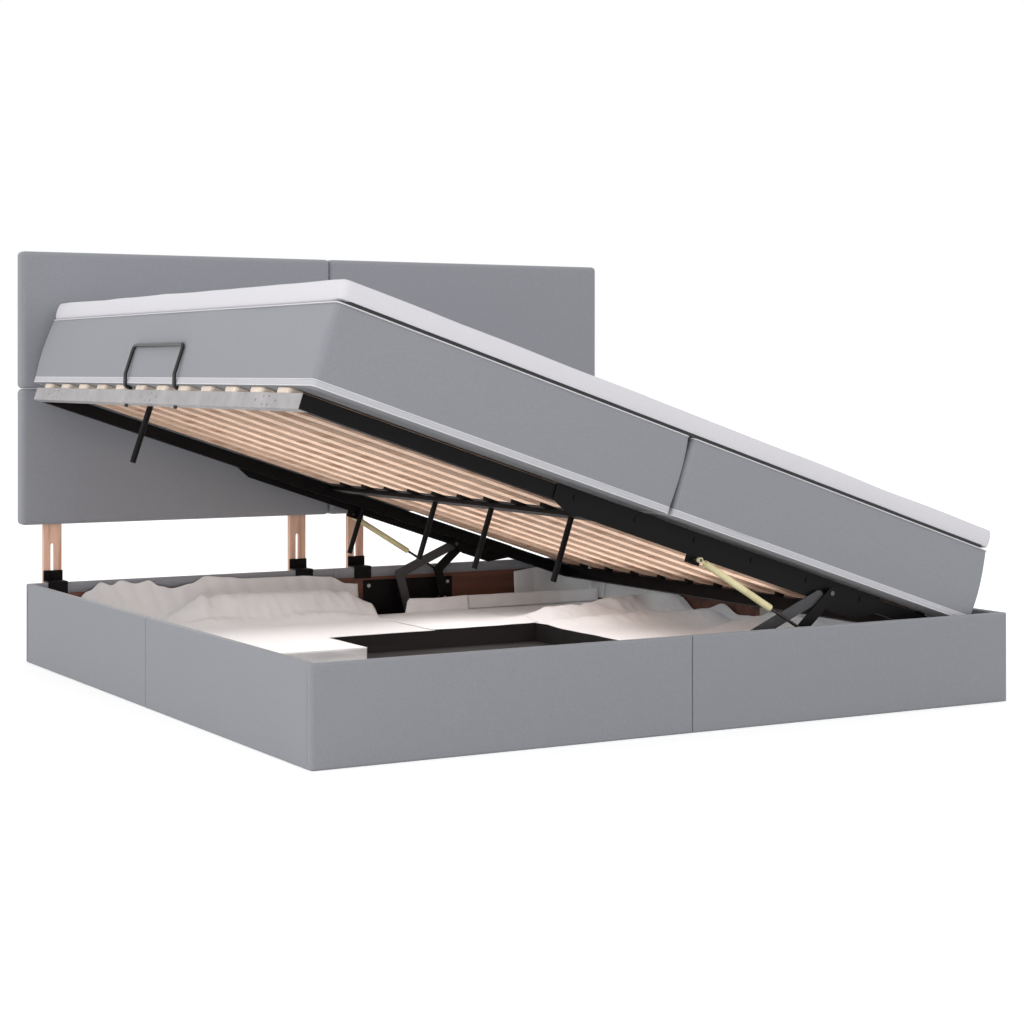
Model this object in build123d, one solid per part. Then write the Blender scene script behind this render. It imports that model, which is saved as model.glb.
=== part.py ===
from build123d import *
from math import atan2, cos, degrees, hypot, radians, sin
import os

# Side-lift ottoman storage bed, in millimetres, drawn with its mattress platform raised.
# X runs across the bed from the side that lifts to the hinge side, Y from the foot to the
# headboard and Z up. The origin is on the floor, at the middle of the whole footprint.
# Places on the base are measured from its outer foot-left corner. Places on the platform are
# measured in the platform's own flat frame: along from its left end, across from the plane of
# the base's foot face, and up from the underside of its side rails.

# Base box of upholstered boards that stand on the floor
base_width = 2040
base_length = 2075
base_height = 238
board_thickness = 16
cover_thickness = 3
cover_lip_thickness = 1
cover_top_lip = 32
cover_bottom_lip = 15
cover_rounding = 2.6
seam_gap = 1

# Steel angles and plates that join the boards, and their screws
angle_leg = 60
steel_thickness = 3
hardware_bottom = 95
hardware_top_drop = 53
joining_plate_length = 80
screw_radius = 2.5
screw_head_radius = 6
screw_head_height = 2.5
screw_depth = 12
screw_margin = 18

# Running and resting clearances
pin_clearance = 0.1
fit_gap = 0.3

# Raised storage floor on three sides of a well, where the platform's legs come down on a
# low floor. A channel at the head leaves room for the mechanism and for one more leg.
floor_height = 84
floor_board_thickness = 4
batten_thickness = 18
well_reach_left = 285
well_from_right = 580
well_head_share = 0.723
left_floor_share = 0.599
head_channel = 85
head_channel_reach = 87
landing_board_height = 35
landing_board_thickness = 17
landing_clearance = 5

# Loose storage liner
liner_thickness = 2
liner_stand_off = 12
liner_end_drop = 33
liner_side_drop = 70
liner_sag = 45
liner_span = 480
liner_fold_width = 80
liner_fold_depth = 4
liner_opening_from_right = 350
liner_flap_rise = 51
liner_flap_clearance = 6
liner_flap_from_channel = 135
liner_flap_from_right = 250

# Platform frame. Places near its hinge end are measured back from that end.
lid_open_angle = 18.385
lid_end_inset = 163.8
lid_end_height = 175.6
lid_closed_shift = 36
lid_closed_height = 187
lid_play = 65
rail_face = 72
rail_width = 30
rail_height = 37
tube_wall = 2
end_beam_width = 25
end_plate_length = 60
middle_beam_offset = 42.5
middle_beam_width = 40
middle_beam_height = 12
lid_plate_thickness = 4
lid_plate_length = 1038
lid_plate_from_end = 240
lid_plate_rise = 41
lid_plate_drop = 19
lobe_length = 105
lobe_from_end = 310
lobe_drop = 34
lobe_slope = 45
plate_bolt_radius = 4
plate_bolt_head_radius = 7
plate_bolt_head_height = 2.5
plate_bolt_margin = 60
plate_bolt_rise = 20
plate_bolt_count = 6

# Slats in two bays, held in end caps
slat_count = 12
slat_foot_margin = 190
slat_head_margin = 169
slat_width = 66
slat_thickness = 10
slat_clearance = 0.5
cap_length = 42
cap_width = 72
cap_height = 15.5
cap_wall = 2.5

# Platform legs, lifting handle and its fixing holes
leg_radius = 8
leg_reach = 151
middle_leg_shares = (0.248, 0.455, 0.617)
end_leg_share = 0.55
end_leg_inset = 50
end_leg_bracket_rise = 20
end_leg_bracket_thickness = 4
rail_leg_offset = 120
slat_count_before_handle = 4
slat_count_under_handle = 3
handle_near_gap = 41.5
handle_far_gap = 62.5
handle_rod_radius = 5
handle_bend_radius = 8
handle_corner_radius = 16
handle_inset = 12
handle_stub = 8
handle_reach = 8
handle_stand_off = 17
handle_knee_rise = 76
handle_height = 157
fixing_hole_radius = 2.5
fixing_group_shares = (0.13, 0.5, 0.872)
fixing_group_outer = 57
fixing_group_inner = 16
fixing_group_rise = 10

# Two mattresses side by side, and the topper
mattress_overhang_left = 10
mattress_overhang_right = 47
mattress_foot_inset = 20
mattress_head_gap = 22
mattress_thickness = 201.5
mattress_draw = 6
mattress_corner = 18
mattress_gap = 0.6
topper_thickness = 53
topper_inset = 4
topper_corner = 18
topper_edge = 12

# Lifting mechanism, each layer counted from the foot panel's outer face
gas_plane = 39
arm_plane = 52
lever_plane = 58
link_thickness = 4
link_width = 30
pin_radius = 6
pin_shoulder_radius = 9
pin_end = 1
stud_radius = 4
stud_shoulder_radius = 6.5
arm_pin_from_end = 409
arm_pin_rise = 8
arm_pivot_offset = 184
elbow_from_right = 652
elbow_height = 223
lever_pin_from_end = 445
lever_pin_drop = 10
lever_pivot_offset = 295
hump_from_right = 799
hump_height = 217
base_plate_thickness = 4
base_plate_margin = 45
base_plate_reach = 160
base_plate_bottom = 20
base_plate_top_drop = 43

# Gas springs
gas_mount_from_end = 843
gas_mount_drop = 26
gas_tab_width = 44
gas_tab_drop = 38
gas_cylinder_radius = 9
gas_cylinder_wall = 2
gas_cylinder_length = 250
gas_eye_radius = 7
gas_eye_width = 9
gas_neck_length = 18
gas_rod_radius = 4
gas_rod_hidden = 110
gas_piston_length = 12
gas_socket_radius = 8
gas_socket_width = 10

# Headboard of two halves, each with two pads on two slotted legs
headboard_overhang = 10
headboard_bottom = 414
headboard_top = 1249
headboard_seam = 830
headboard_thickness = 50
headboard_gap = 2
pad_gap = 1
pad_edge = 6
head_leg_width = 56
head_leg_thickness = 18
head_leg_from_middle = 105
head_leg_from_edge = 104
head_leg_front = 30
head_leg_bottom = 70
head_leg_socket = 120
slot_width = 14
slot_drop = 33
slot_length = 150
clamp_width = 60
clamp_thickness = 4
clamp_flap = 36
clamp_collar = 30
clamp_bolt_rise = 18
clamp_bolt_radius = 5
clamp_bolt_head_radius = 9
clamp_bolt_head_height = 4

# Cuts run this far past the faces that they open
cut_overrun = 1

# Sizes that follow from the ones above
panel_thickness = cover_thickness + board_thickness + cover_lip_thickness
board_face = cover_thickness + board_thickness
overall_length = base_length + headboard_gap + headboard_thickness
lid_length = base_width - lid_play
middle_beam_place = lid_length / 2 + middle_beam_offset
slat_pitch = (base_length - slat_foot_margin - slat_head_margin) / (slat_count - 1)
mattress_width = (lid_length + mattress_overhang_left + mattress_overhang_right) / 2
mattress_length = base_length - mattress_foot_inset - mattress_head_gap
headboard_width = base_width + 2 * headboard_overhang

# Heights that follow the base's
hardware_top = base_height - hardware_top_drop
base_plate_top = base_height - base_plate_top_drop
liner_end_height = base_height - liner_end_drop
liner_side_height = base_height - liner_side_drop
slot_bottom = base_height - slot_drop
slot_top = slot_bottom + slot_length
clamp_bolt_height = base_height + clamp_bolt_rise

# Places on the base
well_left = middle_beam_place - well_reach_left
well_right = base_width - well_from_right
well_head = base_length * well_head_share
left_floor_foot = base_length * left_floor_share
channel_left = middle_beam_place + rail_leg_offset - head_channel_reach
arm_elbow = (base_width - elbow_from_right, elbow_height)
lever_hump = (base_width - hump_from_right, hump_height)

# Places on the platform, as (along, up)
lid_plate_end = lid_length - lid_plate_from_end
lid_plate_start = lid_plate_end - lid_plate_length
lobe_end = lid_length - lobe_from_end
lobe_start = lobe_end - lobe_length
arm_lid_pin = (lid_length - arm_pin_from_end, arm_pin_rise)
lever_lid_pin = (lid_length - lever_pin_from_end, -lever_pin_drop)
gas_mount = (lid_length - gas_mount_from_end, -gas_mount_drop)

# The two frames that pieces are drawn in
lid_turn = radians(lid_open_angle)
lid_corner_place = base_width - lid_end_inset - lid_length * cos(lid_turn)
lid_corner_height = lid_end_height + lid_length * sin(lid_turn)
left_x = -base_width / 2
foot_y = -overall_length / 2
base_frame = Pos(left_x, foot_y, 0)
lid_frame = Pos(left_x + lid_corner_place, foot_y, lid_corner_height) * Rot(0, lid_open_angle, 0)


def block(x0, x1, y0, y1, z0, z1):
    """A box between two corners."""
    return Pos((x0 + x1) / 2, (y0 + y1) / 2, (z0 + z1) / 2) * Box(x1 - x0, y1 - y0, z1 - z0)


def disc(place, y0, y1, radius):
    """A cylinder along Y between two planes, at an (x, z) place."""
    x, z = place
    return Pos(x, (y0 + y1) / 2, z) * Rot(90, 0, 0) * Cylinder(radius, abs(y1 - y0))


def post(x, y, z0, z1, radius):
    """A cylinder along Z between two heights."""
    return Pos(x, y, (z0 + z1) / 2) * Cylinder(radius, z1 - z0)


def flat_link(points, width, y0, y1):
    """A flat bar through (x, z) points, rounded at each of them."""
    shape = disc(points[0], y0, y1, width / 2)
    for (xa, za), (xb, zb) in zip(points, points[1:]):
        turn = Rot(0, -degrees(atan2(zb - za, xb - xa)), 0)
        middle = Pos((xa + xb) / 2, (y0 + y1) / 2, (za + zb) / 2)
        shape += middle * turn * Box(hypot(xb - xa, zb - za), y1 - y0, width)
        shape += disc((xb, zb), y0, y1, width / 2)
    return shape


def mirrored(shape):
    """The same piece on the headboard side, in places measured on the base."""
    return Pos(0, base_length, 0) * shape.mirror(Plane.XZ)


def both_sides(shape):
    return [shape, mirrored(shape)]


def save(node, shapes, frame=base_frame):
    """Write one node from a shape or a list of shapes."""
    solids = []
    for shape in shapes if isinstance(shapes, list) else [shapes]:
        solids += (frame * shape).solids()
    export_step(Compound(solids), os.path.join("parts", node + ".step"))


# Open and closed places of a point of the platform, measured on the base

def open_place(place):
    along, up = place
    x = lid_corner_place + along * cos(lid_turn) + up * sin(lid_turn)
    return x, lid_corner_height - along * sin(lid_turn) + up * cos(lid_turn)


def closed_place(place):
    along, up = place
    return lid_closed_shift + along, lid_closed_height + up


def link_pivot(pin, offset):
    """The base pivot that carries a platform pin from its open to its closed place."""
    (xo, zo), (xc, zc) = open_place(pin), closed_place(pin)
    chord = hypot(xo - xc, zo - zc)
    x = (xo + xc) / 2 - offset * (zo - zc) / chord
    return x, (zo + zc) / 2 - offset * (xc - xo) / chord


def bearing(centre, place):
    """Direction of a place from a centre, in degrees from X towards Z."""
    return degrees(atan2(place[1] - centre[1], place[0] - centre[0]))


def link_swing(pin, pivot):
    """Degrees that a link turns from open to closed."""
    return bearing(pivot, open_place(pin)) - bearing(pivot, closed_place(pin))


def turned(place, centre, angle):
    """A place after a turn about a centre, in degrees from X towards Z."""
    reach = hypot(place[0] - centre[0], place[1] - centre[1])
    heading = radians(bearing(centre, place) + angle)
    return centre[0] + reach * cos(heading), centre[1] + reach * sin(heading)


def span(a, b):
    return hypot(b[0] - a[0], b[1] - a[1])


arm_pivot = link_pivot(arm_lid_pin, arm_pivot_offset)
arm_swing = link_swing(arm_lid_pin, arm_pivot)
lever_pivot = link_pivot(lever_lid_pin, lever_pivot_offset)
lever_swing = link_swing(lever_lid_pin, lever_pivot)
lid_swing = lid_open_angle + arm_swing
gas_top = open_place(gas_mount)
gas_open_length = span(gas_top, arm_elbow)
gas_heading = bearing(gas_top, arm_elbow)
elbow_closed = turned(arm_elbow, arm_pivot, -arm_swing)
gas_closed_length = span(closed_place(gas_mount), elbow_closed)
gas_swing = bearing(closed_place(gas_mount), elbow_closed) - gas_heading - lid_open_angle
gas_stroke = gas_open_length - gas_closed_length
for name, value in (("lift arm turns", arm_swing), ("lever turns", lever_swing),
                    ("platform turns", lid_swing), ("gas spring turns", gas_swing),
                    ("gas spring strokes", gas_stroke)):
    print(name, round(value, 3))


# Base panels: each side is two boards butted at the middle, each board in its own cover.
# A side's own frame has X along it and Y inwards from its outer face.

def side_frame(side):
    if side == "foot":
        return Pos(0, 0, 0)
    if side == "head":
        return Pos(base_width, base_length, 0) * Rot(0, 0, 180)
    if side == "left":
        return Pos(0, base_length - panel_thickness, 0) * Rot(0, 0, -90)
    return Pos(base_width, panel_thickness, 0) * Rot(0, 0, 90)


def side_run(side):
    return base_width if side in ("foot", "head") else base_length - 2 * panel_thickness


def side_halves(side):
    """Names and spans of a side's two halves, in the side's own frame."""
    names = {"foot": ("left", "right"), "head": ("right", "left"),
             "left": ("head", "foot"), "right": ("foot", "head")}[side]
    middle = side_run(side) / 2
    return zip(names, ((0, middle - seam_gap / 2), (middle + seam_gap / 2, side_run(side))))


def board_span(side, start, stop):
    """The ends of the foot and head sides are covered, so their boards stop short."""
    if side in ("left", "right"):
        return start, stop
    return max(start, cover_thickness), min(stop, side_run(side) - cover_thickness)


def panel_cover(side, start, stop):
    """Padded fabric on the outer face, wrapped over the top, the bottom and the free end."""
    cover = block(start, stop, 0, panel_thickness, 0, base_height)
    cover = fillet(cover.edges().filter_by(Axis.X), cover_rounding)
    inner_start, inner_stop = board_span(side, start, stop)
    pocket_start = inner_start if inner_start > start else start - cut_overrun
    pocket_stop = inner_stop if inner_stop < stop else stop + cut_overrun
    cover -= block(pocket_start, pocket_stop, cover_thickness, board_face,
                   cover_thickness, base_height - cover_thickness)
    return cover - block(start - cut_overrun, stop + cut_overrun, board_face,
                         panel_thickness + cut_overrun, cover_bottom_lip, base_height - cover_top_lip)


# Hardware inside the panels. A fixing is a place on a side and the metal that it clamps.

def plate_corners(x0, x1, z0, z1):
    return [(x, z) for x in (x0 + screw_margin, x1 - screw_margin)
            for z in (z0 + screw_margin, z1 - screw_margin)]


def base_plate_ends():
    return lever_pivot[0] - base_plate_reach, arm_pivot[0] + base_plate_margin


def side_fixings(side):
    """Screws on a side: joining plate, corner angles and, at foot and head, the base plate."""
    run = side_run(side)
    low, high = hardware_bottom, hardware_top
    half = joining_plate_length / 2
    corners = plate_corners(run / 2 - half, run / 2 + half, low, high)
    fixings = [(place, steel_thickness) for place in corners]
    edge = panel_thickness if side in ("foot", "head") else 0
    for x in (edge + angle_leg / 2, run - edge - angle_leg / 2):
        fixings += [((x, low + screw_margin), steel_thickness), ((x, high - screw_margin), steel_thickness)]
    if side in ("foot", "head"):
        start, stop = base_plate_ends()
        if side == "head":
            start, stop = run - stop, run - start
        fixings += [(place, base_plate_thickness)
                    for place in plate_corners(start, stop, base_plate_bottom, base_plate_top)]
    return fixings


def screw(place, metal):
    """A screw with its head on the clamped metal and its shank in the board."""
    top = board_face + metal
    shank = disc(place, board_face - screw_depth, top, screw_radius)
    return shank + disc(place, top, top + screw_head_height, screw_head_radius)


def screw_hole(place, metal):
    return disc(place, board_face - screw_depth, board_face + metal + cut_overrun, screw_radius)


def drilled(shape, side):
    for place, metal in side_fixings(side):
        shape -= screw_hole(place, metal)
    return shape


def joining_plate(side):
    middle = side_run(side) / 2
    return block(middle - joining_plate_length / 2, middle + joining_plate_length / 2, board_face,
                 board_face + steel_thickness, hardware_bottom, hardware_top)


def corner_angles():
    """An angle in each inner corner, one leg on each board."""
    low, high = hardware_bottom, hardware_top
    far = panel_thickness + angle_leg
    angles = []
    for right in (False, True):
        for head in (False, True):
            leg = block(board_face, far, board_face, board_face + steel_thickness, low, high)
            leg += block(board_face, board_face + steel_thickness, board_face, far, low, high)
            if right:
                leg = Pos(base_width, 0, 0) * leg.mirror(Plane.YZ)
            if head:
                leg = mirrored(leg)
            for side in ("head" if head else "foot", "right" if right else "left"):
                for place, metal in side_fixings(side):
                    leg -= side_frame(side) * screw_hole(place, metal)
            angles.append(leg)
    return angles


def make_base():
    plates = []
    screws = []
    for side in ("foot", "head", "left", "right"):
        frame = side_frame(side)
        boards = []
        for name, (start, stop) in side_halves(side):
            inner_start, inner_stop = board_span(side, start, stop)
            board = block(inner_start, inner_stop, cover_thickness, board_face,
                          cover_thickness, base_height - cover_thickness)
            boards.append(frame * drilled(board, side))
            save(side + "_panel_cover_" + name, frame * panel_cover(side, start, stop))
        save(side + "_panel_boards", boards)
        plates.append(frame * drilled(joining_plate(side), side))
        screws += [frame * screw(place, metal) for place, metal in side_fixings(side)]
    save("joining_plates", plates)
    save("panel_screws", screws)
    save("corner_angles", corner_angles())


# Storage floor

def bay_battens(x0, x1, y0, y1):
    """A rectangle of battens under a floor board, with one across its middle."""
    t = batten_thickness
    rails = [block(x0, x0 + t, y0, y1, 0, floor_height), block(x1 - t, x1, y0, y1, 0, floor_height)]
    for y in (y0, (y0 + y1 - t) / 2, y1 - t):
        rails.append(block(x0 + t, x1 - t, y, y + t, 0, floor_height))
    return rails


def low_floor_spans():
    """Plans of the low floor: foot compartment, well and head channel."""
    links = lever_plane + link_thickness + landing_clearance
    left, head = panel_thickness, base_length - panel_thickness
    return [(left, well_right, links, left_floor_foot),
            (well_left, well_right, left_floor_foot, well_head),
            (channel_left, well_right, head - head_channel, base_length - links)]


def raised_floor_spans():
    """Plans of the raised floor: left, right, and two parts at the head."""
    foot, head = panel_thickness, base_length - panel_thickness
    left, right = panel_thickness, base_width - panel_thickness
    return [(left, well_left, left_floor_foot, head), (well_right, right, foot, head),
            (well_left, channel_left, well_head, head),
            (channel_left, well_right, well_head, head - head_channel)]


def make_floor():
    low = landing_board_height - landing_board_thickness
    t = batten_thickness
    boards = []
    bearers = []
    for x0, x1, y0, y1 in low_floor_spans():
        boards.append(block(x0, x1, y0, y1, low, landing_board_height))
        for y in (y0, (y0 + y1 - t) / 2, y1 - t):
            bearers.append(block(x0, x1, y, y + t, 0, low))
    save("leg_landing_boards", boards)
    top = floor_height + floor_board_thickness
    raised = [block(*span, floor_height, top) for span in raised_floor_spans()]
    save("floor_board_left", raised[0])
    save("floor_board_right", raised[1])
    save("floor_board_head", raised[2] + raised[3])
    battens = []
    for span in raised_floor_spans():
        battens += bay_battens(*span)
    save("floor_battens", battens + bearers)


# Liner: a floor sheet and hanging walls whose top edge sags between where it is held

def fold_ribbon(start, stop, near):
    """Plan of a hanging wall with shallow folds."""
    count = max(2, round((stop - start) / liner_fold_width))
    step = (stop - start) / count
    edges = [Line((x, near), (x, near + liner_thickness)) for x in (start, stop)]
    for index in range(count):
        a = start + index * step
        bulge = liner_fold_depth if index % 2 else -liner_fold_depth
        for y in (near, near + liner_thickness):
            edges.append(ThreePointArc((a, y), (a + step / 2, y + bulge), (a + step, y)))
    return make_face(edges)


def sagging_mask(start, stop, low, high, depth):
    """The region under a top edge that sags between its hanging points."""
    count = max(1, round((stop - start) / liner_span))
    step = (stop - start) / count
    sag = liner_sag * (high - low) / (liner_end_height - low)
    edges = [Line((start, high), (start, low)), Line((start, low), (stop, low)),
             Line((stop, low), (stop, high))]
    for index in range(count):
        a = start + index * step
        edges.append(ThreePointArc((a, high), (a + step / 2, high - sag), (a + step, high)))
    return Pos(0, depth, 0) * Rot(90, 0, 0) * extrude(make_face(edges), depth)


def liner_wall(side, start, stop, high, near):
    low = floor_height + floor_board_thickness
    sheet = Pos(0, 0, low) * extrude(fold_ribbon(start, stop, near), high - low)
    depth = near + liner_thickness + 2 * liner_fold_depth
    return side_frame(side) * (sheet & sagging_mask(start, stop, low, high, depth))


def make_liner():
    near = panel_thickness + liner_stand_off
    low = floor_height + floor_board_thickness
    high = low + liner_thickness
    edge = near - liner_fold_depth
    liner = None
    for x0, x1, y0, y1 in raised_floor_spans():
        x0, y0 = max(x0, edge), max(y0, edge)
        x1, y1 = min(x1, base_width - edge), min(y1, base_length - edge)
        sheet = block(x0, x1, y0, y1, low, high)
        liner = sheet if liner is None else liner + sheet
    liner += block(edge, well_left, left_floor_foot - liner_thickness, left_floor_foot,
                   landing_board_height, high)
    run = side_run("left")
    inset = liner_stand_off
    end = base_width - near
    liner += liner_wall("left", inset, run - left_floor_foot + panel_thickness, liner_side_height, near)
    liner += liner_wall("right", inset, run - inset, liner_side_height, near)
    liner += liner_wall("foot", base_width - liner_opening_from_right, end, liner_end_height, near)
    liner += liner_wall("head", near, liner_opening_from_right, liner_end_height, near)
    liner += liner_wall("head", base_width - channel_left, end, liner_end_height, near)
    flap = panel_thickness + head_channel + liner_flap_clearance
    stop = base_width - channel_left - liner_flap_from_channel
    liner += liner_wall("head", liner_flap_from_right, stop, low + liner_flap_rise, flap)
    save("storage_liner", liner)


# Lifting mechanism

def make_base_pivots():
    """A plate on the foot board with the two pins that the links turn on, and its twin."""
    start, stop = base_plate_ends()
    far = board_face + base_plate_thickness
    plate = drilled(block(start, stop, board_face, far, base_plate_bottom, base_plate_top), "foot")
    pins = []
    for pivot, plane in ((arm_pivot, arm_plane), (lever_pivot, lever_plane)):
        plate -= disc(pivot, board_face, far, pin_radius)
        shoulder = disc(pivot, far, plane - fit_gap, pin_shoulder_radius)
        pins.append(shoulder + disc(pivot, board_face, plane + link_thickness + pin_end, pin_radius))
    save("base_plate_foot", plate)
    save("base_plate_head", mirrored(plate))
    save("base_pivot_pins", pins + [mirrored(pin) for pin in pins])


def make_lift_arm():
    far = arm_plane + link_thickness
    lid_pin = open_place(arm_lid_pin)
    arm = flat_link((arm_pivot, arm_elbow, lid_pin), link_width, arm_plane, far)
    for place, radius in ((arm_pivot, pin_radius + pin_clearance), (lid_pin, pin_radius + pin_clearance),
                          (arm_elbow, stud_radius)):
        arm -= disc(place, arm_plane - cut_overrun, far + cut_overrun, radius)
    tip = gas_plane + gas_socket_width / 2 + fit_gap
    stud = disc(arm_elbow, tip, arm_plane, stud_shoulder_radius)
    stud += disc(arm_elbow, arm_plane, far, stud_radius)
    save("lift_arm_foot", arm)
    save("lift_arm_head", mirrored(arm))
    save("elbow_studs", both_sides(stud))


def make_guide_lever():
    far = lever_plane + link_thickness
    lever = flat_link((lever_pivot, lever_hump, open_place(lever_lid_pin)), link_width, lever_plane, far)
    lever -= disc(lever_pivot, lever_plane - cut_overrun, far + cut_overrun, pin_radius + pin_clearance)
    save("guide_lever_foot", lever)
    save("guide_lever_head", mirrored(lever))


def gas_tube(x0, x1, radius):
    """A round length along the gas spring's own X axis."""
    return Pos((x0 + x1) / 2, 0, 0) * Rot(0, 90, 0) * Cylinder(radius, x1 - x0)


def make_gas_spring():
    frame = Pos(gas_top[0], gas_plane, gas_top[1]) * Rot(0, -gas_heading, 0)
    bore = gas_cylinder_radius - gas_cylinder_wall
    cylinder = gas_tube(gas_neck_length, gas_cylinder_length, gas_cylinder_radius)
    cylinder -= gas_tube(gas_neck_length + gas_cylinder_wall, gas_cylinder_length - gas_cylinder_wall, bore)
    cylinder -= gas_tube(gas_neck_length + gas_cylinder_wall, gas_cylinder_length + cut_overrun,
                         gas_rod_radius + pin_clearance)
    cylinder += gas_tube(0, gas_neck_length, stud_radius)
    half_eye = gas_eye_width / 2
    cylinder += disc((0, 0), -half_eye, half_eye, gas_eye_radius)
    cylinder -= disc((0, 0), -half_eye - cut_overrun, half_eye + cut_overrun, stud_radius + pin_clearance)
    rod_start = gas_cylinder_length - gas_rod_hidden
    rod = gas_tube(rod_start, gas_open_length, gas_rod_radius)
    rod += gas_tube(rod_start, rod_start + gas_piston_length, bore - pin_clearance)
    half_socket = gas_socket_width / 2
    rod += disc((gas_open_length, 0), -half_socket, half_socket, gas_socket_radius)
    save("gas_cylinder_foot", frame * cylinder)
    save("gas_cylinder_head", mirrored(frame * cylinder))
    save("gas_rod_foot", frame * rod)
    save("gas_rod_head", mirrored(frame * rod))


# Platform, drawn flat in its own frame

def tube(x0, x1, y0, y1, z0, z1, axis):
    """A rectangular tube between two corners, open at both ends along its axis."""
    w = tube_wall
    if axis == "x":
        return block(x0, x1, y0, y1, z0, z1) - block(x0 - w, x1 + w, y0 + w, y1 - w, z0 + w, z1 - w)
    return block(x0, x1, y0, y1, z0, z1) - block(x0 + w, x1 - w, y0 - w, y1 + w, z0 + w, z1 - w)


def slat_place(index):
    return slat_foot_margin + index * slat_pitch


def handle_places():
    """The handle's two rods pass between slat caps."""
    first = slat_count_before_handle
    last = first + slat_count_under_handle
    return slat_place(first) + handle_near_gap, slat_place(last) - handle_far_gap


def make_platform_frame():
    far = base_length - rail_face
    left = tube(0, end_beam_width, rail_face, far, 0, rail_height, "y")
    holes = [(-fixing_group_outer, 0), (fixing_group_outer, 0)]
    holes += [(across, up) for across in (-fixing_group_inner, fixing_group_inner)
              for up in (-fixing_group_rise, fixing_group_rise)]
    for share in fixing_group_shares:
        for across, up in holes:
            place = base_length * share + across
            hole = Pos(tube_wall / 2, place, rail_height / 2 + up) * Rot(0, 90, 0)
            left -= hole * Cylinder(fixing_hole_radius, tube_wall + cut_overrun)
    for place in handle_places():
        left -= post(handle_inset, place, -cut_overrun, rail_height + cut_overrun, handle_rod_radius)
    save("left_end_beam", left, lid_frame)
    right = tube(lid_length - end_beam_width, lid_length, rail_face, far, 0, rail_height, "y")
    save("right_end_beam", right, lid_frame)
    rail = tube(end_beam_width, lid_length - end_beam_width, rail_face, rail_face + rail_width,
                0, rail_height, "x")
    for start, stop in ((0, end_plate_length), (lid_length - end_plate_length, lid_length)):
        rail += block(start, stop, rail_face - tube_wall, rail_face, 0, rail_height)
    for place in plate_bolt_places():
        rail -= disc(place, rail_face - cut_overrun, rail_face + tube_wall + cut_overrun, plate_bolt_radius)
    save("foot_rail", rail, lid_frame)
    save("head_rail", mirrored(rail), lid_frame)
    half = middle_beam_width / 2
    save("middle_beam", block(middle_beam_place - half, middle_beam_place + half, rail_face + rail_width,
                              far - rail_width, rail_height - middle_beam_height, rail_height), lid_frame)


def plate_bolt_places():
    step = (lid_plate_end - lid_plate_start - 2 * plate_bolt_margin) / (plate_bolt_count - 1)
    return [(lid_plate_start + plate_bolt_margin + index * step, plate_bolt_rise)
            for index in range(plate_bolt_count)]


def make_lid_plates():
    """A deep plate on each side rail, with a lobe at the links and a tab at the gas spring."""
    outline = Polyline(
        (lid_plate_start, lid_plate_rise), (lid_plate_start, 0),
        (lid_plate_start + lobe_slope, -lid_plate_drop),
        (lobe_start - lobe_slope, -lid_plate_drop), (lobe_start, -lobe_drop), (lobe_end, -lobe_drop),
        (lid_plate_end, 0), (lid_plate_end, lid_plate_rise), close=True)
    near = rail_face - lid_plate_thickness
    profile = Pos(0, rail_face, 0) * Rot(90, 0, 0) * extrude(make_face(outline), lid_plate_thickness)
    half = gas_tab_width / 2
    plate = profile + block(gas_mount[0] - half, gas_mount[0] + half, near, rail_face, -gas_tab_drop, 0)
    holes = [(arm_lid_pin, pin_radius), (lever_lid_pin, pin_radius), (gas_mount, stud_radius)]
    holes += [(place, plate_bolt_radius) for place in plate_bolt_places()]
    for place, radius in holes:
        plate -= disc(place, near - cut_overrun, rail_face + cut_overrun, radius)
    bolts = []
    for place in plate_bolt_places():
        head = disc(place, near - plate_bolt_head_height, near, plate_bolt_head_radius)
        bolts.append(head + disc(place, near, rail_face + tube_wall, plate_bolt_radius))
    save("lid_plate_foot", plate, lid_frame)
    save("lid_plate_head", mirrored(plate), lid_frame)
    save("plate_bolts", bolts + [mirrored(bolt) for bolt in bolts], lid_frame)


def make_lid_pins():
    """Pins in the deep plates: the lift arm turns on one, the gas spring's eye on another."""
    near = rail_face - lid_plate_thickness
    arm_far = arm_plane + link_thickness + fit_gap
    arm_pin = disc(arm_lid_pin, arm_plane - pin_end, rail_face, pin_radius)
    arm_pin += disc(arm_lid_pin, arm_far, near, pin_shoulder_radius)
    lever_boss = disc(lever_lid_pin, near, rail_face, pin_radius)
    lever_boss += disc(lever_lid_pin, lever_plane + link_thickness + fit_gap, near, pin_shoulder_radius)
    eye_far = gas_plane + gas_eye_width / 2 + fit_gap
    gas_stud = disc(gas_mount, gas_plane - gas_eye_width / 2 - pin_end, rail_face, stud_radius)
    gas_stud += disc(gas_mount, eye_far, near, stud_shoulder_radius)
    pins = [arm_pin, lever_boss, gas_stud]
    save("lid_pins", pins + [mirrored(pin) for pin in pins], lid_frame)


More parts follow.
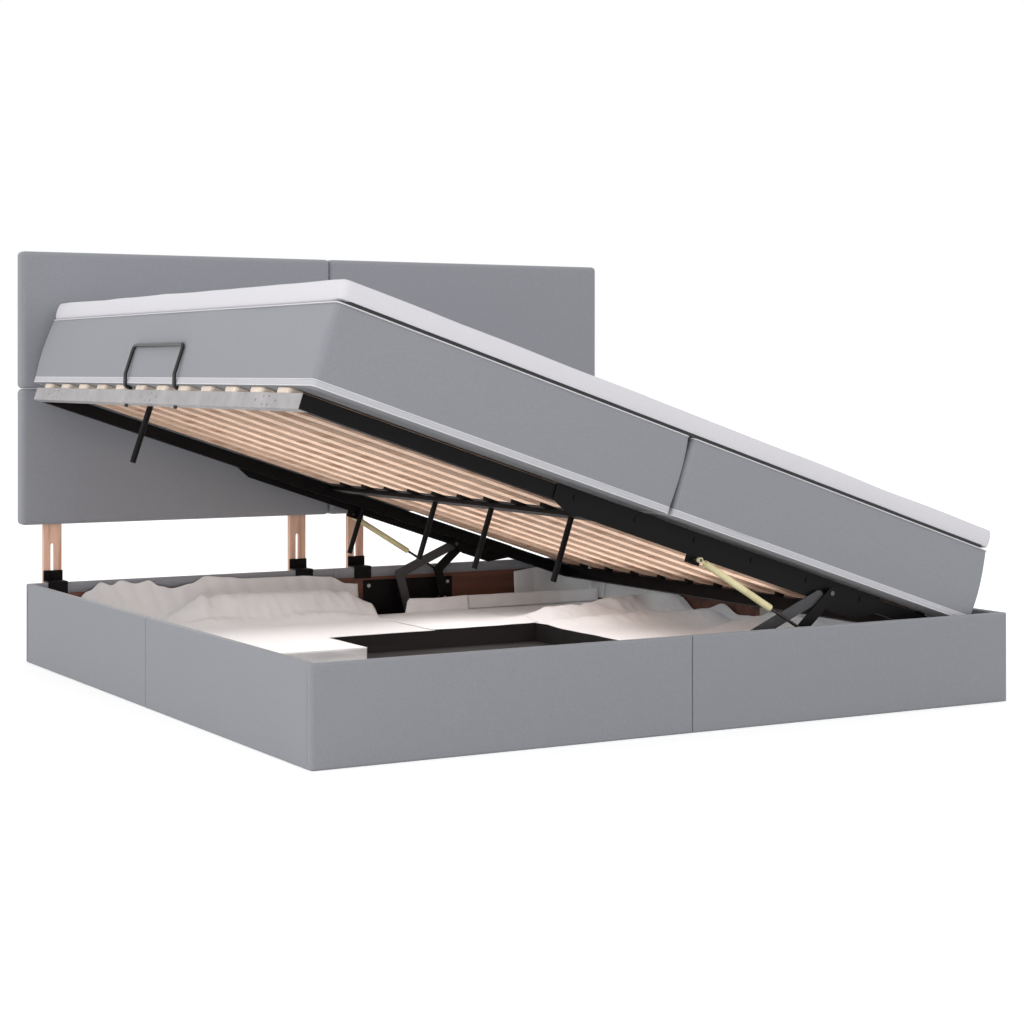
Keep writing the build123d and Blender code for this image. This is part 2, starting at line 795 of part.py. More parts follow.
def make_slats():
    cap_base = rail_height
    cap_top = cap_base + cap_height
    slat_base = cap_base + cap_wall
    left_start, left_stop = cap_wall, middle_beam_place - cap_wall / 2
    right_start, right_stop = middle_beam_place + cap_wall / 2, lid_length - cap_wall
    left_slats = []
    right_slats = []
    caps = []
    for index in range(slat_count):
        centre = slat_place(index)
        low, high = centre - slat_width / 2, centre + slat_width / 2
        cap_low, cap_high = centre - cap_width / 2, centre + cap_width / 2
        left_slats.append(block(left_start, left_stop, low, high, slat_base, slat_base + slat_thickness))
        right_slats.append(block(right_start, right_stop, low, high, slat_base, slat_base + slat_thickness))
        room = slat_clearance / 2
        roof = slat_base + slat_thickness + slat_clearance
        pockets = [block(a, b, low - room, high + room, slat_base, roof)
                   for a, b in ((left_start, left_stop), (right_start, right_stop))]
        for a, b in ((0, cap_length), (middle_beam_place - cap_length, middle_beam_place + cap_length),
                     (lid_length - cap_length, lid_length)):
            cap = block(a, b, cap_low, cap_high, cap_base, cap_top)
            caps.append(cap - pockets[0] - pockets[1])
    save("slats_left_bay", left_slats, lid_frame)
    save("slats_right_bay", right_slats, lid_frame)
    save("slat_caps", caps, lid_frame)


def make_legs_and_handle():
    beam_low = rail_height - middle_beam_height
    legs = [post(middle_beam_place, base_length * share, -leg_reach, beam_low, leg_radius)
            for share in middle_leg_shares]
    bracket_top = end_leg_bracket_rise + end_leg_bracket_thickness
    place = base_length * end_leg_share
    end_leg = post(end_leg_inset, place, -leg_reach, bracket_top, leg_radius)
    end_leg += block(end_beam_width, end_leg_inset + leg_radius, place - leg_radius,
                     place + leg_radius, end_leg_bracket_rise, bracket_top)
    rail_middle = base_length - rail_face - rail_width / 2
    rail_leg = post(middle_beam_place + rail_leg_offset, rail_middle, -leg_reach, 0, leg_radius)
    save("platform_legs", legs + [end_leg, rail_leg], lid_frame)
    near, far = handle_places()
    side = ((handle_inset, -handle_stub), (handle_inset, rail_height + handle_stub),
            (-handle_reach, rail_height + handle_stub), (-handle_stand_off, handle_knee_rise),
            (-handle_stand_off, handle_height))
    route = [(x, near, z) for x, z in side] + [(x, far, z) for x, z in reversed(side)]
    bend, corner = handle_bend_radius, handle_corner_radius
    path = FilletPolyline(*route, radius=[bend, bend, bend, corner, corner, bend, bend, bend])
    section = Plane(origin=path @ 0, z_dir=path % 0) * Circle(handle_rod_radius)
    save("lift_handle", sweep(section, path), lid_frame)


# Mattresses and topper

def section(x0, x1, y0, y1, corner, z):
    return Pos((x0 + x1) / 2, (y0 + y1) / 2, z) * RectangleRounded(x1 - x0, y1 - y0, corner)


def make_mattresses():
    low = rail_height + cap_height + fit_gap
    high = low + mattress_thickness
    start = -mattress_overhang_left
    seam = start + mattress_width
    end = seam + mattress_width
    foot, head = mattress_foot_inset, mattress_foot_inset + mattress_length
    draw, gap = mattress_draw, mattress_gap
    outlines = {"left": ((start + draw, seam - draw), (start, seam)),
                "right": ((seam - draw + gap, end - draw), (seam + gap, end))}
    for name, (edge, middle) in outlines.items():
        sections = [section(*edge, foot + draw, head - draw, mattress_corner, low),
                    section(*middle, foot, head, mattress_corner, (low + high) / 2),
                    section(*edge, foot + draw, head - draw, mattress_corner, high)]
        save("mattress_" + name, loft(sections), lid_frame)
    topper_low = high + fit_gap
    topper = block(start + topper_inset, end - topper_inset, foot, head,
                   topper_low, topper_low + topper_thickness)
    topper = fillet(topper.edges().filter_by(Axis.Z), topper_corner)
    topper = fillet(topper.faces().sort_by(Axis.Z)[-1].edges(), topper_edge)
    save("topper", topper, lid_frame)


# Headboard

def leg_block(centre, z0, z1):
    half = head_leg_width / 2
    front = base_length + head_leg_front
    return block(centre - half, centre + half, front, front + head_leg_thickness, z0, z1)


def head_pad(start, stop, low, high, legs):
    front = base_length + headboard_gap
    pad = block(start, stop, front, front + headboard_thickness, low, high)
    pad = fillet(pad.faces().sort_by(Axis.Y)[0].edges(), pad_edge)
    for centre in legs:
        pad -= leg_block(centre, headboard_bottom - cut_overrun, headboard_seam + head_leg_socket)
    return pad


def head_leg(centre):
    leg = leg_block(centre, head_leg_bottom, headboard_seam + head_leg_socket)
    half = slot_width / 2
    front = base_length + head_leg_front - cut_overrun
    back = front + head_leg_thickness + 2 * cut_overrun
    slot = block(centre - half, centre + half, front, back, slot_bottom + half, slot_top - half)
    for z in (slot_bottom + half, slot_top - half):
        slot += disc((centre, z), front, back, half)
    return leg - slot


def head_clamp(centre):
    """A bent strip over the head panel: a flap inside, a bridge, and a collar before the leg."""
    half = clamp_width / 2
    inner = base_length - panel_thickness
    collar_back = base_length + head_leg_front - fit_gap
    collar_front = collar_back - clamp_thickness
    top = base_height + clamp_thickness
    bottom = base_height - clamp_flap
    strip = block(centre - half, centre + half, inner - clamp_thickness, inner, bottom, top)
    strip += block(centre - half, centre + half, inner - clamp_thickness, collar_back, base_height, top)
    strip += block(centre - half, centre + half, collar_front, collar_back, base_height,
                   top + clamp_collar)
    return strip - disc((centre, clamp_bolt_height), collar_front - cut_overrun,
                        collar_back + cut_overrun, clamp_bolt_radius)


def clamp_bolt(centre):
    """A bolt through the collar and the leg's slot, with its nut behind the leg."""
    place = (centre, clamp_bolt_height)
    collar_front = base_length + head_leg_front - fit_gap - clamp_thickness
    leg_back = base_length + head_leg_front + head_leg_thickness + fit_gap
    bolt = disc(place, collar_front - clamp_bolt_head_height, collar_front, clamp_bolt_head_radius)
    bolt += disc(place, collar_front, leg_back + clamp_bolt_head_height, clamp_bolt_radius)
    return bolt + disc(place, leg_back, leg_back + clamp_bolt_head_height, clamp_bolt_head_radius)


def make_headboard():
    middle = base_width / 2
    start, stop = middle - headboard_width / 2, middle + headboard_width / 2
    legs = {"left": (start + head_leg_from_edge, middle - head_leg_from_middle),
            "right": (middle + head_leg_from_middle, stop - head_leg_from_edge)}
    spans = {"left": (start, middle - pad_gap / 2), "right": (middle + pad_gap / 2, stop)}
    rows = {"upper": (headboard_seam + pad_gap / 2, headboard_top),
            "lower": (headboard_bottom, headboard_seam - pad_gap / 2)}
    for side in ("left", "right"):
        for row, (low, high) in rows.items():
            save("headboard_pad_" + row + "_" + side, head_pad(*spans[side], low, high, legs[side]))
        save("headboard_legs_" + side, [head_leg(centre) for centre in legs[side]])
    centres = legs["left"] + legs["right"]
    save("headboard_clamps", [head_clamp(centre) for centre in centres])
    save("clamp_bolts", [clamp_bolt(centre) for centre in centres])


os.makedirs("parts", exist_ok=True)
make_base()
make_floor()
make_liner()
make_base_pivots()
make_lift_arm()
make_guide_lever()
make_gas_spring()
make_platform_frame()
make_lid_plates()
make_lid_pins()
make_slats()
make_legs_and_handle()
make_mattresses()
make_headboard()
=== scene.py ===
import math

import bmesh
import bpy
from mathutils import Matrix, Vector, noise


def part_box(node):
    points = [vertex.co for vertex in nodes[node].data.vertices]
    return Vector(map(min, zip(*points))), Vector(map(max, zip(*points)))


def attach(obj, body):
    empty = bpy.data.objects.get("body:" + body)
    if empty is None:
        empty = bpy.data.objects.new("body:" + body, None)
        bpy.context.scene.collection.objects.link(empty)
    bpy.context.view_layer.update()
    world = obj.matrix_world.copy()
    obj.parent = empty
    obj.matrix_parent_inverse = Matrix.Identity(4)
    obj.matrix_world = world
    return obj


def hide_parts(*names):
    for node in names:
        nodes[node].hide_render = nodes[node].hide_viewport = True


# Looks of the side-lift ottoman storage bed. Lengths are in metres, in the frame of the CAD.
# Pieces on the platform are drawn flat, in the platform's own frame: along from its left end,
# across from the plane of the base's foot face, and up from the underside of its side rails.

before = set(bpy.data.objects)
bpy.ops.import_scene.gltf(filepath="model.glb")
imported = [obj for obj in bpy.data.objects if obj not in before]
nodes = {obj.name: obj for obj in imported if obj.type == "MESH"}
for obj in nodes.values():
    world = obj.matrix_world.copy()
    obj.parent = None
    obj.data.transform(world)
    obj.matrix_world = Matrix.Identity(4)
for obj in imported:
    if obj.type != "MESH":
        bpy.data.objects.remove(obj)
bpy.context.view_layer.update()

# Camera, as the photograph was taken
camera_place = (-2.9983, -5.3910, 0.8814)
camera_yaw = 0.522
camera_lens = 75.62
camera_shift = -0.1369
camera_sensor = 36

# Platform frame
lid_angle = math.radians(18.385)
lid_length = 1.975
lid_end_place = 1.8762
lid_end_height = 0.1756
base_width = 2.040
base_length = 2.075
overall_length = 2.127
left_x = -base_width / 2
foot_y = -overall_length / 2
lid_corner = (left_x + lid_end_place - lid_length * math.cos(lid_angle), foot_y,
              lid_end_height + lid_length * math.sin(lid_angle))
lid_matrix = Matrix.Translation(lid_corner) @ Matrix.Rotation(lid_angle, 4, "Y")
base_matrix = Matrix.Translation((left_x, foot_y, 0))


# Materials

def socket(node, name, value):
    node.inputs[name].default_value = value


class Surface:
    """A node material with a Principled shader, built a step at a time."""

    def __init__(self, name, roughness, metallic=0.0):
        self.material = bpy.data.materials.new(name)
        self.material.use_nodes = True
        self.tree = self.material.node_tree
        self.shader = self.tree.nodes["Principled BSDF"]
        socket(self.shader, "Roughness", roughness)
        socket(self.shader, "Metallic", metallic)
        self.places = self.tree.nodes.new("ShaderNodeTexCoord").outputs["Object"]

    def node(self, kind, **values):
        made = self.tree.nodes.new(kind)
        for name, value in values.items():
            setattr(made, name, value)
        return made

    def link(self, a, b):
        self.tree.links.new(a, b)

    def mapped(self, scale, turn=0.0):
        """Places on the object, stretched, and turned back by the platform's angle."""
        mapping = self.node("ShaderNodeMapping")
        socket(mapping, "Rotation", (0, -turn, 0))
        mapping.inputs["Scale"].default_value = scale
        self.link(self.places, mapping.inputs["Vector"])
        return mapping.outputs["Vector"]

    def noise(self, scale, detail=2.0, stretch=(1, 1, 1), turn=0.0, roughness=0.5):
        texture = self.node("ShaderNodeTexNoise")
        socket(texture, "Scale", scale)
        socket(texture, "Detail", detail)
        socket(texture, "Roughness", roughness)
        self.link(self.mapped(stretch, turn), texture.inputs["Vector"])
        return texture.outputs["Fac"]

    def ramp(self, value, stops):
        ramp = self.node("ShaderNodeValToRGB")
        elements = ramp.color_ramp.elements
        for element, (place, colour) in zip(elements, (stops[0], stops[-1])):
            element.position = place
            element.color = (*colour, 1)
        for place, colour in stops[1:-1]:
            elements.new(place).color = (*colour, 1)
        self.link(value, ramp.inputs["Fac"])
        return ramp.outputs["Color"]

    def mix(self, factor, a, b):
        mix = self.node("ShaderNodeMix", data_type="RGBA")
        for value, index in ((factor, 0), (a, 6), (b, 7)):
            if isinstance(value, (int, float)):
                mix.inputs[index].default_value = value
            elif isinstance(value, tuple):
                mix.inputs[index].default_value = (*value, 1)
            else:
                self.link(value, mix.inputs[index])
        return mix.outputs[2]

    def math(self, operation, a, b):
        made = self.node("ShaderNodeMath", operation=operation)
        for value, index in ((a, 0), (b, 1)):
            if isinstance(value, (int, float)):
                made.inputs[index].default_value = value
            else:
                self.link(value, made.inputs[index])
        return made.outputs[0]

    def colour(self, value):
        if isinstance(value, tuple):
            socket(self.shader, "Base Color", (*value, 1))
        else:
            self.link(value, self.shader.inputs["Base Color"])

    def bump(self, height, distance, strength=1.0):
        bump = self.node("ShaderNodeBump")
        socket(bump, "Strength", strength)
        socket(bump, "Distance", distance)
        self.link(height, bump.inputs["Height"])
        self.link(bump.outputs["Normal"], self.shader.inputs["Normal"])


def srgb(red, green, blue):
    """A colour given as it looks on screen, in linear light."""
    values = []
    for value in (red, green, blue):
        share = value / 255
        values.append(share / 12.92 if share <= 0.04045 else ((share + 0.055) / 1.055) ** 2.4)
    return tuple(values)


def shaded(colour, share):
    """A colour made darker or lighter by a share."""
    return tuple(value * share for value in colour)


fabric_roughness = 0.9
fabric_sheen = 0.25
thread_depth = 0.0006
thread_stretch = 0.12
tone_wave = 6.0


def fabric(name, colour, thread, turn=0.0, mottle=0.10):
    """Woven cloth: threads both ways at the real pitch, slubs, and a slow unevenness of tone."""
    surface = Surface(name, fabric_roughness)
    lying = surface.noise(1 / thread, 2.0, (thread_stretch, thread_stretch, 1.0), turn)
    standing = surface.noise(1 / thread, 2.0, (1.0, 1.0, thread_stretch), turn)
    weave = surface.math("ADD", surface.math("MULTIPLY", lying, 0.5),
                         surface.math("MULTIPLY", standing, 0.5))
    fine = surface.ramp(weave, [(0.36, shaded(colour, 1 - mottle)), (0.64, shaded(colour, 1 + mottle))])
    slow = surface.noise(tone_wave, 3.0)
    surface.colour(surface.mix(slow, fine, surface.mix(0.5, fine, shaded(colour, 0.94))))
    surface.bump(weave, thread_depth, 0.6)
    socket(surface.shader, "Sheen Weight", fabric_sheen)
    socket(surface.shader, "Sheen Roughness", 0.5)
    socket(surface.shader, "Specular IOR Level", 0.2)
    return surface.material


wood_roughness = 0.55
pores_per_ring = 9
pore_depth = 0.0003


def wood(name, light, dark, grain, turn=0.0, stretch=(0.06, 1.0, 1.0)):
    """Straight-grained wood with pores along the grain."""
    surface = Surface(name, wood_roughness)
    rings = surface.noise(grain, 4.0, stretch, turn, 0.6)
    pores = surface.noise(grain * pores_per_ring, 2.0, (stretch[0] * 0.5, stretch[1], stretch[2]), turn)
    tone = surface.ramp(rings, [(0.35, dark), (0.5, shaded(light, 0.93)), (0.65, light)])
    surface.colour(surface.mix(surface.math("MULTIPLY", pores, 0.35), tone, dark))
    surface.bump(pores, pore_depth, 0.4)
    return surface.material


peel_grain = 900.0
peel_depth = 0.0002
wear_wave = 14.0


def painted(name, colour, roughness, coat=0.0, specular=0.5):
    """Powder-coated steel or moulded plastic, with a fine orange peel and faint rubbing marks."""
    surface = Surface(name, roughness)
    peel = surface.noise(peel_grain, 2.0)
    wear = surface.noise(wear_wave, 5.0, (1, 1, 1), 0.0, 0.7)
    surface.colour(surface.ramp(wear, [(0.35, shaded(colour, 0.85)), (0.7, shaded(colour, 1.15))]))
    surface.bump(peel, peel_depth, 0.35)
    socket(surface.shader, "Coat Weight", coat)
    socket(surface.shader, "Specular IOR Level", specular)
    return surface.material


metal_grain = 500.0
metal_grain_depth = 0.0001
stain_wave = 20.0


def metal(name, colour, roughness):
    """Bare or plated metal with a fine grain and stains of tone."""
    surface = Surface(name, roughness, 1.0)
    grain = surface.noise(metal_grain, 2.0)
    stains = surface.noise(stain_wave, 4.0)
    tone = surface.ramp(grain, [(0.3, shaded(colour, 0.85)), (0.7, colour)])
    surface.colour(surface.mix(surface.math("MULTIPLY", stains, 0.3), tone, shaded(colour, 0.75)))
    surface.bump(grain, metal_grain_depth, 0.3)
    return surface.material


upholstery = srgb(146, 148, 154)
panel_cloth = fabric("panel_cloth", upholstery, 0.0009)
headboard_cloth = fabric("headboard_cloth", upholstery, 0.0009)
mattress_cloth = fabric("mattress_cloth", srgb(147, 149, 155), 0.0008, lid_angle)
piping_cloth = fabric("piping_cloth", srgb(222, 221, 224), 0.0008, lid_angle)
band_cloth = fabric("band_cloth", srgb(196, 196, 201), 0.0008, lid_angle)
# Dark cloth for the tape in the gap under the topper's foot edge: painted shade of that gap.
gap_shade_cloth = fabric("gap_shade_cloth", srgb(52, 52, 56), 0.0008, lid_angle)
topper_cloth = fabric("topper_cloth", srgb(222, 220, 225), 0.0010, lid_angle, 0.05)
liner_cloth = fabric("liner_cloth", srgb(231, 231, 232), 0.0010, 0.0, 0.05)
slat_wood = wood("slat_wood", srgb(226, 193, 168), srgb(186, 148, 122), 60.0, lid_angle)
leg_wood = wood("leg_wood", srgb(242, 200, 176), srgb(206, 160, 136), 60.0, 0.0, (1.0, 1.0, 0.06))
board_wood = wood("board_wood", srgb(112, 70, 54), srgb(80, 48, 37), 30.0)
# Near-black wood for the floor board, battens and landing boards: painted shade of the deep well under
# the platform.
well_shade_wood = wood("well_shade_wood", srgb(27, 23, 23), srgb(15, 12, 12), 30.0)
black_paint = painted("black_paint", srgb(12, 10, 11), 0.5, 0.0, 0.15)
handle_paint = painted("handle_paint", srgb(14, 14, 15), 0.3, 0.15)
silver_paint = painted("silver_paint", srgb(166, 163, 164), 0.42)
lever_paint = painted("lever_paint", srgb(58, 57, 60), 0.45)
gas_paint = painted("gas_paint", srgb(228, 218, 170), 0.3)
black_plastic = painted("black_plastic", srgb(34, 30, 29), 0.6, 0.0, 0.2)
cap_plastic = painted("cap_plastic", srgb(230, 214, 198), 0.5)
zinc = metal("zinc_plate", srgb(190, 190, 186), 0.35)
pin_steel = metal("pin_steel", srgb(104, 101, 98), 0.4)
piston_chrome = metal("piston_chrome", srgb(70, 68, 66), 0.18)

node_materials = {
    "panel_boards": board_wood, "joining_plates": zinc, "panel_screws": zinc, "corner_angles": zinc,
    "floor_battens": well_shade_wood, "floor_board": well_shade_wood, "leg_landing_boards": well_shade_wood,
    "base_plate": black_paint, "base_pivot_pins": zinc, "headboard_clamps": black_paint,
    "clamp_bolts": black_paint, "lift_arm": black_paint, "elbow_studs": black_paint,
    "guide_lever": lever_paint, "left_end_beam": silver_paint, "right_end_beam": black_paint,
    "foot_rail": black_paint, "head_rail": black_paint, "middle_beam": black_paint,
    "lid_plate": black_paint, "lid_pins": pin_steel, "plate_bolts": black_paint, "slats": slat_wood,
    "slat_caps": cap_plastic, "platform_legs": black_paint, "lift_handle": handle_paint,
    "gas_cylinder": gas_paint, "gas_rod": piston_chrome, "headboard_legs": leg_wood,
    "storage_liner": liner_cloth, "panel_cover": panel_cloth, "headboard_pad": headboard_cloth,
    "mattress": mattress_cloth, "topper": topper_cloth,
}
for node_name, node_object in nodes.items():
    for part_name, part_material in node_materials.items():
        if part_name in node_name:
            node_object.data.materials.clear()
            node_object.data.materials.append(part_material)


# Mesh making

weld_distance = 0.00002


def add_piece(name, points, faces, material, body, slot, matrix=None, smooth=True):
    """A closed mesh that rides on a body, with the given material. The slot is not used."""
    mesh = bpy.data.meshes.new(name)
    mesh.from_pydata([tuple(point) for point in points], [], faces)
    if matrix is not None:
        mesh.transform(matrix)
    work = bmesh.new()
    work.from_mesh(mesh)
    bmesh.ops.remove_doubles(work, verts=work.verts, dist=weld_distance)
    bmesh.ops.recalc_face_normals(work, faces=work.faces)
    work.to_mesh(mesh)
    work.free()
    for polygon in mesh.polygons:
        polygon.use_smooth = smooth
    mesh.materials.append(material)
    made = bpy.data.objects.new(name, mesh)
    bpy.context.scene.collection.objects.link(made)
    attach(made, body)
    return made


def rounded_loop(half_x, half_y, corner, side_x, side_y, bends=8):
    """A rounded rectangle about the origin as (x, y, outward x, outward y).

    The number of points depends on the side and bend counts alone, so rings of any size join up.
    """
    corner = min(corner, half_x * 0.999, half_y * 0.999)
    loop = []
    for quarter, (sign_x, sign_y) in enumerate(((1, 1), (-1, 1), (-1, -1), (1, -1))):
        centre = (sign_x * (half_x - corner), sign_y * (half_y - corner))
        for step in range(bends + 1):
            angle = (quarter + step / bends) * math.pi / 2
            c, s = math.cos(angle), math.sin(angle)
            loop.append((centre[0] + corner * c, centre[1] + corner * s, c, s))
        steps = side_x if quarter % 2 == 0 else side_y
        x, y, nx, ny = loop[-1]
        run = -2 * x if quarter % 2 == 0 else -2 * y
        for step in range(1, steps):
            share = step / steps
            if quarter % 2 == 0:
                loop.append((x + run * share, y, nx, ny))
            else:
                loop.append((x, y + run * share, nx, ny))
    return loop


def joined_rings(rings):
    """Quads between rings that follow one another, and a face over each end."""
    count = len(rings[0])
    faces = [list(range(count))[::-1]]
    for level in range(len(rings) - 1):
        a, b = level * count, (level + 1) * count
        faces += [[a + i, a + (i + 1) % count, b + (i + 1) % count, b + i] for i in range(count)]
    last = (len(rings) - 1) * count
    faces.append([last + i for i in range(count)])
    return [point for ring in rings for point in ring], faces


def loop_tube(loop, height, radius, rise):
    """A cord of oval section, as deep as radius and as high as rise, along a closed loop."""
    sides = 8
    points = []
    for x, y, nx, ny in loop:
        for side in range(sides):
            angle = side / sides * 2 * math.pi
            out = radius * math.cos(angle)
            points.append((x + nx * out, y + ny * out, height + rise * math.sin(angle)))
    count = len(loop)
    faces = []
    for i in range(count):
        a, b = i * sides, ((i + 1) % count) * sides
        for side in range(sides):
            after = (side + 1) % sides
            faces.append([a + side, b + side, b + after, a + after])
    return points, faces


# Camera, floor and lights

camera_data = bpy.data.cameras.new("camera")
camera_data.lens = camera_lens
camera_data.sensor_width = camera_sensor
camera_data.shift_y = camera_shift
camera = bpy.data.objects.new("camera", camera_data)
camera.location = camera_place
camera.rotation_euler = (math.pi / 2, 0, -camera_yaw)
bpy.context.scene.collection.objects.link(camera)
bpy.context.scene.camera = camera

floor_size = 60.0
floor_shade = 0.80
floor_glow_strength = 0.42
floor_mesh = bpy.data.meshes.new("floor")
floor_mesh.from_pydata([(-floor_size, -floor_size, 0), (floor_size, -floor_size, 0),
                        (floor_size, floor_size, 0), (-floor_size, floor_size, 0)], [], [[0, 1, 2, 3]])
floor = bpy.data.objects.new("floor", floor_mesh)
bpy.context.scene.collection.objects.link(floor)
floor_surface = Surface("floor_surface", 0.9)
floor_surface.colour((floor_shade, floor_shade, floor_shade))
socket(floor_surface.shader, "Specular IOR Level", 0.0)
floor_seen = floor_surface.node("ShaderNodeLightPath")
floor_glow = floor_surface.math("MAXIMUM", floor_seen.outputs["Is Camera Ray"],
                                floor_seen.outputs["Is Glossy Ray"])
floor_glow = floor_surface.math("MAXIMUM", floor_glow, floor_seen.outputs["Is Transmission Ray"])
floor_surface.link(floor_surface.math("MULTIPLY", floor_glow, floor_glow_strength),
                   floor_surface.shader.inputs["Emission Strength"])
socket(floor_surface.shader, "Emission Color", (1, 1, 1, 1))
floor_mesh.materials.append(floor_surface.material)

world = bpy.data.worlds.new("world")
bpy.context.scene.world = world
world.use_nodes = True
world_tree = world.node_tree
background = world_tree.nodes["Background"]
world_strength = 0.97
ray = world_tree.nodes.new("ShaderNodeLightPath")
seen = world_tree.nodes.new("ShaderNodeMath")
seen.operation = "MAXIMUM"
world_tree.links.new(ray.outputs["Is Camera Ray"], seen.inputs[0])
world_tree.links.new(ray.outputs["Is Glossy Ray"], seen.inputs[1])
strength = world_tree.nodes.new("ShaderNodeMapRange")
socket(strength, "To Min", world_strength)
socket(strength, "To Max", 1.0)
world_tree.links.new(seen.outputs[0], strength.inputs["Value"])
world_tree.links.new(strength.outputs["Result"], background.inputs["Strength"])
socket(background, "Color", (1, 1, 1, 1))


def area_lamp(name, place, target, width, depth, power, spread):
    """A lamp that the camera doesn't see, turned to its target."""
    lamp = bpy.data.lights.new(name, "AREA")
    lamp.shape = "RECTANGLE"
    lamp.size = width
    lamp.size_y = depth
    lamp.energy = power
    lamp.spread = spread
    made = bpy.data.objects.new(name, lamp)
    made.location = place
    made.rotation_euler = (Vector(target) - Vector(place)).to_track_quat("-Z", "Y").to_euler()
    made.visible_camera = False
    bpy.context.scene.collection.objects.link(made)


# The last three light the platform's underside and the well, at places that are inside the bed
# when the platform is closed.
area_lamp("key", (-4.8, -2.6, 1.5), (0.2, 0.2, 0.3), 2.5, 2.5, 34, math.pi)
area_lamp("low", (-4.2, -4.2, 0.7), (0.4, 0.4, 0.5), 2.0, 2.0, 14, math.pi)
area_lamp("under_down", (-0.30, 0.0, 0.40), (-0.33, 0.0, 0.0), 1.3, 1.3, 4.8, 2.4)
area_lamp("under_right", (0.35, 0.0, 0.255), (0.35, 0.0, 0.0), 0.5, 1.3, 1.1, 2.4)
area_lamp("under_up", (-0.06, 0.0, 0.2), (-0.06, 0.0, 1.0), 1.55, 1.3, 7.8, 1.9)

bpy.context.scene.view_settings.view_transform = "Standard"


# Upholstered base panels: each piece covers a board and turns in behind its top and bottom

cover_rounding = 0.006
cover_corner = 0.008
cover_seam_rounding = 0.004
cover_top_lip = 0.032
cover_bottom_lip = 0.015
lip_step = 0.0012
cover_unevenness = 0.0008
corner_steps = 6
edge_steps = 12
length_steps = 60


def cover_section(depth, height):
    """Outline of a covered board, as (depth from the outer face, height), once round."""
    r = cover_rounding
    corners = (((r, r), 180), ((depth - r, r), 270), ((depth - r, height - r), 0), ((r, height - r), 90))
    outline = []
    for (x, z), start in corners:
        for step in range(corner_steps + 1):
            angle = math.radians(start + step * 90 / corner_steps)
            outline.append((x + r * math.cos(angle), z + r * math.sin(angle)))
        if start == 270:
            outline += [(depth, cover_bottom_lip), (depth - lip_step, cover_bottom_lip),
                        (depth - lip_step, height - cover_top_lip), (depth, height - cover_top_lip)]
        if start == 90:
            outline += [(0, height - r - (height - 2 * r) * step / edge_steps)
                        for step in range(1, edge_steps)]
    return outline


def end_inset(distance, radius):
    """How far a rounded edge stands back at a distance from the end."""
    if distance >= radius:
        return 0.0
    return radius - math.sqrt(max(radius ** 2 - (radius - distance) ** 2, 0.0))


def make_cover(name):
    """Fabric over one base board, with a round outer corner and a finer edge at the seam."""
    low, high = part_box(name)
    side = name.split("_")[0]
    along_x = side in ("foot", "head")
    start, stop = (low.x, high.x) if along_x else (low.y, high.y)
    height = high.z - low.z
    depth = (high.y - low.y) if along_x else (high.x - low.x)
    outer_end = {"foot_panel_cover_left": start, "head_panel_cover_left": start,
                 "foot_panel_cover_right": stop, "head_panel_cover_right": stop}.get(name)
    radius_start = cover_corner if outer_end == start else cover_seam_rounding
    radius_stop = cover_corner if outer_end == stop else cover_seam_rounding
    fractions = [0, 0.08, 0.25, 0.5, 0.75, 1]
    places = [start + radius_start * f for f in fractions]
    places += [start + (stop - start) * i / length_steps for i in range(1, length_steps)]
    places += [stop - radius_stop * f for f in reversed(fractions)]
    outline = cover_section(depth, height)
    rings = []
    for place in places:
        inset = max(end_inset(place - start, radius_start), end_inset(stop - place, radius_stop))
        ring = []
        for d, z in outline:
            share = max(0.0, 1 - d / depth)
            wave = noise.noise(Vector((place * 3.1, z * 5.0, 7.0 if along_x else 3.0)))
            moved = max(d, inset) + wave * cover_unevenness * share
            lift = min(max(z, inset * 0.6), height - inset * 0.6)
            if side == "foot":
                ring.append((place, low.y + moved, low.z + lift))
            elif side == "head":
                ring.append((place, high.y - moved, low.z + lift))
            elif side == "left":
                ring.append((low.x + moved, place, low.z + lift))
            else:
                ring.append((high.x - moved, place, low.z + lift))
        rings.append(ring)
    cover = add_piece(name + "_fabric", *joined_rings(rings), panel_cloth, "root", "panel_fabric")
    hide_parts(name)


for cover_node in sorted(nodes):
    if "_panel_cover_" in cover_node:
        make_cover(cover_node)


# Headboard pads: flat at the back, rolled over the edges and a little crowned in front

pad_roll = 0.014
pad_crown = 0.004
pad_unevenness = 0.0012
back_rounding = 0.002
back_inset = 0.02
pad_side_steps = 3
pad_roll_steps = 8
pad_face_steps = 16


